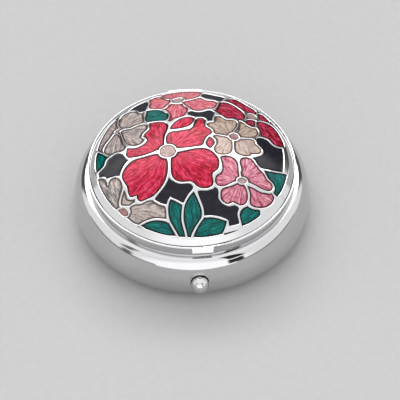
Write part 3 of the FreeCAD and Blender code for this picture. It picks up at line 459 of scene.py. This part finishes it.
def turning(loop):
    """The angle by which a closed outline turns at each point."""
    arriving = unit(loop - np.roll(loop, 1, axis=0))
    leaving = unit(np.roll(loop, -1, axis=0) - loop)
    return np.arccos(np.clip((arriving * leaving).sum(axis=1), -1, 1))


def smooth_outline(loop):
    """The outline with evenly close points, on smooth curves between its corners."""
    corner = turning(loop) > CORNER_TURN
    kept = [0]
    for i in range(1, len(loop)):
        if corner[i] or math.dist(loop[i], loop[kept[-1]]) > SHORTEST_STEP:
            kept.append(i)
    loop = loop[kept]
    corner = turning(loop) > CORNER_TURN
    chords = np.roll(loop, -1, axis=0) - loop
    lengths = np.linalg.norm(chords, axis=1)
    tangents = unit(np.roll(loop, -1, axis=0) - np.roll(loop, 1, axis=0))
    curve = []
    for i, (start, chord, length) in enumerate(zip(loop, chords, lengths)):
        after = (i + 1) % len(loop)
        leaving = chord if corner[i] else tangents[i] * length
        arriving = chord if corner[after] else tangents[after] * length
        steps = max(1, round(length / OUTLINE_STEP))
        for t in np.arange(steps) / steps:
            lead, tail = t * (1 - t) ** 2, t * t * (t - 1)
            blend = t * t * (3 - 2 * t)
            curve.append(start + blend * chord + lead * leaving + tail * arriving)
    return np.array(curve)


def outward(loop):
    """Unit vectors that point out of an anticlockwise outline."""
    along = unit(np.roll(loop, -1, axis=0) - np.roll(loop, 1, axis=0))
    return np.stack([along[:, 1], -along[:, 0]], axis=1)


def crept(loops):
    """The outlines grown until the metal lines between them are narrow.

    The enamel creeps up the lines' rounded sides, so each outline moves out by half of what its
    gap to the facing outline has beyond the width of a line, within limits.
    """
    outlines = Outlines(loops)
    grown = []
    for loop in loops:
        faces = outward(loop)
        gaps = np.array([outlines.gap(point, face) for point, face in zip(loop, faces)])
        creep = np.clip((gaps - LINE_WIDTH) / 2, LEAST_CREEP, MOST_CREEP)
        grown.append(loop + averaged(creep, CREEP_SMOOTHING)[:, None] * faces)
    return grown


def averaged(values, count):
    """Values round a closed outline, each replaced by the mean of the count values about it."""
    half = count // 2
    padded = np.concatenate([values[-half:], values, values[:half]])
    return np.convolve(padded, np.ones(count) / count, mode="valid")


def disc_grid():
    """Points of a triangular grid over the motif."""
    rows = int(MOTIF_RADIUS / (GRID_STEP * ROW_HEIGHT)) + 1
    columns = int(MOTIF_RADIUS / GRID_STEP) + 1
    grid = [
        ((column + row % 2 / 2) * GRID_STEP, row * GRID_STEP * ROW_HEIGHT)
        for row in range(-rows, rows + 1)
        for column in range(-columns, columns + 1)
    ]
    grid = np.array(grid)
    return grid[np.linalg.norm(grid, axis=1) < MOTIF_RADIUS - GRID_STEP / 2]


def ring(radius, count=RING_POINTS):
    """Points round a circle."""
    angles = np.arange(count) * 2 * math.pi / count
    return np.stack([np.cos(angles), np.sin(angles)], axis=1) * radius


class Outlines:
    """All cell outlines together, to find how far a point is from the nearest one."""

    def __init__(self, loops):
        self.points = np.concatenate(loops)
        self.after = np.concatenate([np.roll(loop, -1, axis=0) for loop in loops])
        self.before = np.concatenate([np.roll(loop, 1, axis=0) for loop in loops])
        self.normals = np.concatenate([outward(loop) for loop in loops])
        self.tree = KDTree(len(self.points))
        for i, (x, y) in enumerate(self.points):
            self.tree.insert((x, y, 0), i)
        self.tree.balance()

    def gap(self, point, face):
        """How far the nearest outline point is that faces back against the given direction."""
        x, y = point
        return self.tree.find((x, y, 0), filter=lambda i: self.normals[i] @ face < FACING)[2]

    def nearest(self, points):
        """For each point: its distance, the unit vector away, and the nearest outline point's number."""
        found = np.array([self.tree.find((x, y, 0))[1] for x, y in points])
        best = np.full(len(points), np.inf)
        away = np.zeros((len(points), 2))
        for other in (self.after, self.before):
            start, side = self.points[found], other[found] - self.points[found]
            share = ((points - start) * side).sum(axis=1) / np.maximum((side**2).sum(axis=1), 1e-12)
            gap = points - start - np.clip(share, 0, 1)[:, None] * side
            distance = np.linalg.norm(gap, axis=1)
            closer = distance < best
            best[closer] = distance[closer]
            away[closer] = gap[closer]
        return best, unit(away), found


def offset_points(loops, outlines, offsets, sign):
    """Rows of points beside every outline, outside it for sign 1 and inside it for sign -1."""
    rows = []
    for offset in offsets:
        for loop in loops:
            row = loop + sign * offset * outward(loop)
            distance = outlines.nearest(row)[0]
            rows.append(row[distance > ROW_SHARE * offset])
    rows = np.concatenate(rows)
    return rows[np.linalg.norm(rows, axis=1) < PLATE_RADIUS - RING_STEP]


def thinned(points, spacing):
    """The points without those that lie too close to an earlier one."""
    taken = {}
    kept = []
    for i, (x, y) in enumerate(points):
        cell = (math.floor(x / spacing), math.floor(y / spacing))
        near = (taken.get((cell[0] + a, cell[1] + b)) for a in (-1, 0, 1) for b in (-1, 0, 1))
        if all(j is None or math.dist(points[i], points[j]) > spacing for j in near):
            taken[cell] = i
            kept.append(i)
    return points[kept]


def triangulate(loops, outlines):
    """Triangles over the whole plate, as (points in plan, triangles, the cell of each triangle or -1)."""
    fillers = [disc_grid()]
    for radius in np.arange(BEVEL_RADIUS - RING_STEP, PLATE_RADIUS - RING_STEP / 2, RING_STEP):
        fillers.append(ring(radius))
    fillers = np.concatenate(fillers)
    clear = max(METAL_OFFSETS[-1], ENAMEL_OFFSETS[-1])
    fillers = fillers[outlines.nearest(fillers)[0] > clear]
    outside = offset_points(loops, outlines, METAL_OFFSETS, 1)
    inside = offset_points(loops, outlines, ENAMEL_OFFSETS, -1)
    loose = thinned(np.concatenate([outside, inside, fillers]), SHORTEST_STEP)
    points = np.concatenate([outlines.points, ring(PLATE_RADIUS), loose])
    faces = []
    start = 0
    for loop in loops:
        faces.append(list(range(start, start + len(loop))))
        start += len(loop)
    result = delaunay_2d_cdt([Vector(p) for p in points], [], faces, 0, SAME_POINT)
    vertices, _, triangles, _, _, owners = result
    plan = np.array([tuple(v) for v in vertices])
    triangles = np.array(triangles)
    cells = np.array([owner[0] if owner else -1 for owner in owners])
    return plan, triangles, cells


def surface_normals(plan, rise, away):
    """Normals of a height field from the plate's slope and the rise away from the nearest outline."""
    radius = np.linalg.norm(plan, axis=1)
    slope = plate_slope(radius)[:, None] * unit(plan) + rise[:, None] * away
    return unit(np.concatenate([-slope, np.ones((len(plan), 1))], axis=1))


def metal_surface(plan, distance, away):
    """Heights and normals of the metal lines: level along the middle, rounded down to the enamel."""
    share = np.clip(1 - distance / LINE_ROUNDING, 0, 1)
    height = plate_height(np.linalg.norm(plan, axis=1)) - GROOVE * share**2
    rise = 2 * GROOVE / LINE_ROUNDING * share
    return height, surface_normals(plan, rise, away)


def enamel_surface(plan, distance, away):
    """Heights and normals of the enamel: it climbs a little where it meets the metal."""
    fade = np.exp(-distance / MENISCUS)
    height = plate_height(np.linalg.norm(plan, axis=1)) - GROOVE - ENAMEL_DIP * (1 - fade)
    rise = -ENAMEL_DIP / MENISCUS * fade
    return height, surface_normals(plan, rise, away)


def compact(triangles):
    """The vertex numbers that the triangles use, and the triangles in terms of their places in that list."""
    used, places = np.unique(triangles, return_inverse=True)
    return used, places.reshape(triangles.shape)


def walls(upper, lower):
    """Triangles between two rows of vertex numbers that both run round the same closed outline."""
    next_upper, next_lower = np.roll(upper, -1), np.roll(lower, -1)
    first = np.stack([upper, lower, next_lower], axis=1)
    second = np.stack([upper, next_lower, next_upper], axis=1)
    return np.concatenate([first, second])


def build_piece(name, points, triangles, material, body, replaced, normals=None, attributes=None):
    """A mesh piece in metres from points in millimetres, riding on a body in place of CAD nodes."""
    mesh = bpy.data.meshes.new(name)
    mesh.from_pydata((points * MM).tolist(), [], triangles.tolist())
    mesh.validate()
    for key, values in (attributes or {}).items():
        vector = values.ndim == 2
        attribute = mesh.attributes.new(key, "FLOAT_VECTOR" if vector else "FLOAT", "POINT")
        attribute.data.foreach_set("vector" if vector else "value", values.astype(np.float32).ravel())
    mesh.shade_smooth()
    if normals is not None:
        mesh.normals_split_custom_set(normals.tolist())
    mesh.materials.append(material)
    piece = bpy.data.objects.new(name, mesh)
    bpy.context.scene.collection.objects.link(piece)
    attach(piece, body)
    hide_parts(*replaced)
    return piece


def loop_normals(points, triangles, smooth_count, vertex_normals):
    """A normal for each triangle's corner: given ones on the first triangles, and flat ones on the rest."""
    a, b, c = (points[triangles[:, i]] for i in range(3))
    flat = unit(np.cross(b - a, c - a))
    corners = np.repeat(flat, 3, axis=0)
    top = triangles[:smooth_count].ravel()
    corners[: len(top)] = vertex_normals[top]
    return corners


def plate_underside(rim):
    """Rings of points under the plate, and the triangles that close it, for a rim of that many points."""
    radii = np.append(np.arange(PLATE_RADIUS, UNDERSIDE_STEP, -UNDERSIDE_STEP), UNDERSIDE_STEP / 2)
    rings = [ring(r, rim) for r in radii]
    rows = []
    for r, plan in zip(radii, rings):
        height = min(float(dome_height(r)) - PLATE_THICKNESS, PLATE_EDGE_Z)
        rows.append(np.concatenate([plan, np.full((rim, 1), max(height, PLATE_LOW[2]))], axis=1))
    first = np.arange(rim)
    triangles = [walls(first + i * rim, first + (i + 1) * rim) for i in range(len(radii) - 1)]
    middle = len(radii) * rim
    last = first + middle - rim
    fan = np.stack([last, np.full(rim, middle), np.roll(last, -1)], axis=1)
    centre = [[0, 0, float(dome_height(0.0)) - PLATE_THICKNESS]]
    return np.concatenate(rows + [centre]), np.concatenate(triangles + [fan])


def build_plate(loops, outlines, plan, triangles, cells):
    """The metal plate: rounded lines and border on top, a pocket for each cell, closed underneath."""
    distance, away, nearest = outlines.nearest(plan)
    on_outline = distance < ON_OUTLINE
    away[on_outline] = outlines.normals[nearest[on_outline]]
    height, normals = metal_surface(plan, distance, away)
    top, top_triangles = compact(triangles[cells < 0])
    points = [np.column_stack([plan[top], height[top]])]
    faces = [top_triangles]
    place = {vertex: i for i, vertex in enumerate(top.tolist())}
    count = len(top)
    start = 0
    for number, loop in enumerate(loops):
        inside, floor_triangles = compact(triangles[cells == number])
        floor = plate_height(np.linalg.norm(plan[inside], axis=1)) - POCKET_DEPTH
        points.append(np.column_stack([plan[inside], floor]))
        faces.append(floor_triangles + count)
        lower = {vertex: i + count for i, vertex in enumerate(inside.tolist())}
        edge = range(start, start + len(loop))
        upper_row = np.array([place[v] for v in edge])
        lower_row = np.array([lower[v] for v in edge])
        faces.append(walls(upper_row, lower_row)[:, ::-1])
        count += len(inside)
        start += len(loop)
    rim = np.array([place[start + i] for i in range(RING_POINTS)])
    under, under_triangles = plate_underside(RING_POINTS)
    points.append(under)
    faces.append(under_triangles + count)
    faces.append(walls(rim, np.arange(RING_POINTS) + count))
    points, faces = np.concatenate(points), np.concatenate(faces)
    padded = np.zeros_like(points)
    padded[: len(top)] = normals[top]
    corners = loop_normals(points, faces, len(top_triangles), padded)
    replaced = ["motif_plate"]
    build_piece("motif_plate_lines", points, faces, SILVER, "lid", replaced, corners)


def flower_grain(plan, centre):
    """Coordinates that change fast round a flower's middle and slowly away from it: veins run outward."""
    arm = plan - centre
    reach = np.linalg.norm(arm, axis=1)
    return np.column_stack([unit(arm) * FLOWER_STREAKS, reach * FLOWER_DRIFT])


def leaf_grain(plan, loop):
    """Coordinates that change fast across a leaf and slowly along it."""
    middle = loop.mean(axis=0)
    along = np.linalg.svd(loop - middle)[2][0]
    across = np.array([-along[1], along[0]])
    arm = plan - middle
    return np.column_stack([arm @ across * LEAF_STREAKS, arm @ along * LEAF_DRIFT, np.zeros(len(plan))])


def build_enamel(node, numbers, loops, middles, outlines, plan, triangles, cells):
    """The enamel of one colour: a closed fill for each of its cells, with its veins' coordinates."""
    points, faces, normals, grain, edges, blush = [], [], [], [], [], []
    tops = []
    count = 0
    for number in numbers:
        loop = loops[number]
        inside, top = compact(triangles[cells == number])
        spots = plan[inside]
        distance, away, nearest = outlines.nearest(spots)
        on_outline = distance < ON_OUTLINE
        away[on_outline] = -outlines.normals[nearest[on_outline]]
        height, upward = enamel_surface(spots, distance, away)
        floor = plate_height(np.linalg.norm(spots, axis=1)) - POCKET_DEPTH
        start = sum(len(other) for other in loops[:number])
        place = {vertex: i for i, vertex in enumerate(inside.tolist())}
        row = np.array([place[v] for v in range(start, start + len(loop))]) + count
        closest = min(middles, key=lambda m: np.linalg.norm(loop - m, axis=1).min())
        veins = leaf_grain(spots, loop) if node == "enamel_green" else flower_grain(spots, closest)
        points += [np.column_stack([spots, height]), np.column_stack([spots, floor])]
        tops.append(top + count)
        faces += [top[:, ::-1] + count + len(inside), walls(row, row + len(inside))]
        normals += [upward, upward]
        grain += [veins, veins]
        edges += [distance, distance]
        rosy = min(math.dist(loop.mean(axis=0), middle) for middle in ROSY_MIDDLES) < MIDDLE_REACH
        blush.append(np.full(2 * len(inside), float(rosy)))
        count += 2 * len(inside)
    points = np.concatenate(points)
    all_faces = np.concatenate(tops + faces)
    smooth_count = sum(len(top) for top in tops)
    corners = loop_normals(points, all_faces, smooth_count, np.concatenate(normals))
    attributes = {"grain": grain, "edge": edges, "blush": blush}
    attributes = {key: np.concatenate(parts) for key, parts in attributes.items()}
    build_piece(node + "_fill", points, all_faces, ENAMELS[node], "lid", [node], corners, attributes)


def build_motif():
    """The plate and its enamel, from the outlines of the CAD cells."""
    outlines_of = {node: cell_outlines(node) for node in ENAMELS}
    middles = [loop.mean(axis=0) for loop in outlines_of["enamel_centres"]]
    loops = crept([loop for group in outlines_of.values() for loop in group])
    outlines = Outlines(loops)
    plan, triangles, cells = triangulate(loops, outlines)
    build_plate(loops, outlines, plan, triangles, cells)
    first = 0
    for node, group in outlines_of.items():
        numbers = range(first, first + len(group))
        build_enamel(node, numbers, loops, middles, outlines, plan, triangles, cells)
        first += len(group)


# ---------------------------------------------------------------- latch spring

SPRING_AXIS_Z = 6.5
SPRING_FRONT_Y = -19.5
SPRING_BACK_Y = -17.0
SPRING_RADIUS = 1.35
SPRING_WIRE = 0.14
SPRING_TURNS = 3.5
END_TURN = 0.8
END_TURN_RISE = 1.8 * SPRING_WIRE
STEPS_PER_TURN = 36
WIRE_SIDES = 12


def spring_path():
    """Points along the spring's wire: a nearly flat turn at each end, with open turns between."""
    turns = np.linspace(0, SPRING_TURNS, int(SPRING_TURNS * STEPS_PER_TURN) + 1)
    share = np.clip((turns - END_TURN) / (SPRING_TURNS - 2 * END_TURN), 0, 1)
    start, end = SPRING_FRONT_Y + SPRING_WIRE, SPRING_BACK_Y - SPRING_WIRE
    first = np.clip(turns / END_TURN, 0, 1) * END_TURN_RISE
    last = np.clip((turns - SPRING_TURNS + END_TURN) / END_TURN, 0, 1) * END_TURN_RISE
    along = start + first + last + share * (end - start - 2 * END_TURN_RISE)
    angle = turns * 2 * math.pi
    across = SPRING_RADIUS * np.cos(angle)
    up = SPRING_AXIS_Z + SPRING_RADIUS * np.sin(angle)
    return np.column_stack([across, along, up])


def tube(path, radius, sides):
    """Points and triangles of a round wire along the path, closed at both ends."""
    tangents = unit(np.gradient(path, axis=0))
    outward_side = unit(path * (1, 0, 1) - (0, 0, SPRING_AXIS_Z))
    side = unit(outward_side - (outward_side * tangents).sum(axis=1, keepdims=True) * tangents)
    other = np.cross(tangents, side)
    rows = []
    for angle in np.arange(sides) * 2 * math.pi / sides:
        rows.append(path + radius * (math.cos(angle) * side + math.sin(angle) * other))
    points = np.stack(rows, axis=1).reshape(-1, 3)
    points = np.concatenate([points, path[:1], path[-1:]])
    first = np.arange(sides)
    faces = [walls(first + i * sides, first + (i + 1) * sides) for i in range(len(path) - 1)]
    last = first + (len(path) - 1) * sides
    hub = len(path) * sides
    faces.append(np.stack([first, np.roll(first, -1), np.full(sides, hub)], axis=1))
    faces.append(np.stack([np.roll(last, -1), last, np.full(sides, hub + 1)], axis=1))
    return points, np.concatenate(faces)


def build_spring():
    """The latch spring as a wire coil that rides on the base."""
    points, faces = tube(spring_path(), SPRING_WIRE, WIRE_SIDES)
    replaced = ["latch_spring"]
    piece = build_piece("latch_spring_coil", points, faces, SPRING_STEEL, "base", replaced)
    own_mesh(piece)


# ------------------------------------------------------- floor, light, camera

# Half the floor's side, and the camera's distance and nearest visible distance, in metres
FLOOR_HALF = 2.5
CAMERA_DISTANCE = 0.5
CLIP_START = 0.01

# The camera's direction in degrees, and its lens, sensor and aim in millimetres
AZIMUTH = -3.9
ELEVATION = 50.1
LENS = 210
SENSOR = 36
AIM_RIGHT = 1.73
AIM_UP = 1.93


def build_floor():
    """A pale paper floor."""
    mesh = bpy.data.meshes.new("floor")
    corners = [(x * FLOOR_HALF, y * FLOOR_HALF, 0) for x, y in ((-1, -1), (1, -1), (1, 1), (-1, 1))]
    mesh.from_pydata(corners, [], [(0, 1, 2, 3)])
    mesh.materials.append(floor_material("floor_paper"))
    floor = bpy.data.objects.new("floor", mesh)
    bpy.context.scene.collection.objects.link(floor)


def window(tree, value, low, high, soft):
    """1 where the value is between low and high, and 0 outside, with soft edges."""
    rise = remap(tree, value, low - soft, low + soft)
    fall = remap(tree, value, high - soft, high + soft, 1.0, 0.0)
    return calculate(tree, "MULTIPLY", rise, fall)


# How bright the studio is: its front wall, side walls, ceiling and the lit band on its back wall
FRONT_LIGHT = 1.62
SIDE_LIGHT = 1.16
CEILING_LIGHT = 1.3
BACK_LIGHT = 5.6

# Where the front changes to the sides and the sides to the back, as the Y of a unit direction, and
# the walls to the ceiling, as its Z
FRONT_TO_SIDE = (-0.85, -0.55)
SIDE_TO_BACK = (0.4, 0.65)
WALL_TO_CEILING = (0.78, 0.9)

# The lit band's lowest and highest elevation and its softness, in degrees
BACK_BAND = (33, 56, 5)

# Dark gaps in the studio's walls: azimuth and elevation ranges in degrees, softness, darkness
DARK_GAPS = (
    ((27, 41), (4, 22), 1.5, 0.97),
    ((29, 45), (28.5, 62), 1.5, 0.97),
    ((-66, -56), (2, 17), 3, 0.8),
    ((-72, -60), (27, 52), 3, 0.8),
    ((-168, -125), (-20, 37), 4, 0.9),
    ((123, 168), (-20, 37), 4, 0.9),
    ((-104, -34), (-1, 5), 1, 0.7),
    ((34, 98), (-1, 5), 1, 0.7),
)

WHITE = (1.0, 1.0, 1.0, 1.0)


def towards(azimuth, elevation):
    """The unit vector towards an azimuth, from the front round to the right, and elevation in degrees."""
    a, e = math.radians(azimuth), math.radians(elevation)
    return Vector((math.sin(a) * math.cos(e), -math.cos(a) * math.cos(e), math.sin(e)))


def build_world():
    """A white studio with a few dark gaps, which gives the polished metal something to reflect."""
    world = bpy.data.worlds.new("studio")
    bpy.context.scene.world = world
    world.use_nodes = True
    tree = world.node_tree
    direction = add_node(tree, "ShaderNodeTexCoord").outputs["Generated"]
    parts = add_node(tree, "ShaderNodeSeparateXYZ", {"Vector": direction})
    forward = calculate(tree, "MULTIPLY", parts.outputs["Y"], -1.0)
    azimuth = calculate(tree, "ARCTAN2", parts.outputs["X"], forward)
    elevation = calculate(tree, "ARCSINE", parts.outputs["Z"])
    light = remap(tree, parts.outputs["Y"], *FRONT_TO_SIDE, FRONT_LIGHT, SIDE_LIGHT)
    overhead = remap(tree, parts.outputs["Z"], *WALL_TO_CEILING)
    light = calculate(tree, "ADD", light, calculate(tree, "MULTIPLY", overhead, CEILING_LIGHT - SIDE_LIGHT))
    behind = remap(tree, parts.outputs["Y"], *SIDE_TO_BACK)
    band = calculate(tree, "MULTIPLY", behind, window(tree, elevation, *map(math.radians, BACK_BAND)))
    light = calculate(tree, "ADD", light, calculate(tree, "MULTIPLY", band, BACK_LIGHT - SIDE_LIGHT))
    for sideways, upright, soft, darkness in DARK_GAPS:
        across = window(tree, azimuth, *map(math.radians, (*sideways, soft)))
        high = window(tree, elevation, *map(math.radians, (*upright, soft)))
        gap = calculate(tree, "MULTIPLY", calculate(tree, "MULTIPLY", across, high), darkness)
        light = calculate(tree, "MULTIPLY", light, calculate(tree, "SUBTRACT", 1.0, gap))
    background = tree.nodes["Background"]
    plug(tree, background.inputs["Color"], WHITE)
    plug(tree, background.inputs["Strength"], light)


def build_camera():
    """The camera, at the photographer's viewing angle."""
    back = towards(AZIMUTH, ELEVATION)
    right = towards(AZIMUTH + 90, 0)
    up = back.cross(right)
    aim = (right * AIM_RIGHT + up * AIM_UP) * MM
    data = bpy.data.cameras.new("camera")
    data.lens = LENS
    data.sensor_width = SENSOR
    data.clip_start = CLIP_START
    camera = bpy.data.objects.new("camera", data)
    turn = Matrix((right, up, back)).transposed().to_4x4()
    camera.matrix_world = Matrix.Translation(aim + back * CAMERA_DISTANCE) @ turn
    bpy.context.scene.collection.objects.link(camera)
    bpy.context.scene.camera = camera


finish_cad_nodes()
build_motif()
build_spring()
build_floor()
build_world()
build_camera()
bpy.context.scene.view_settings.view_transform = "Standard"
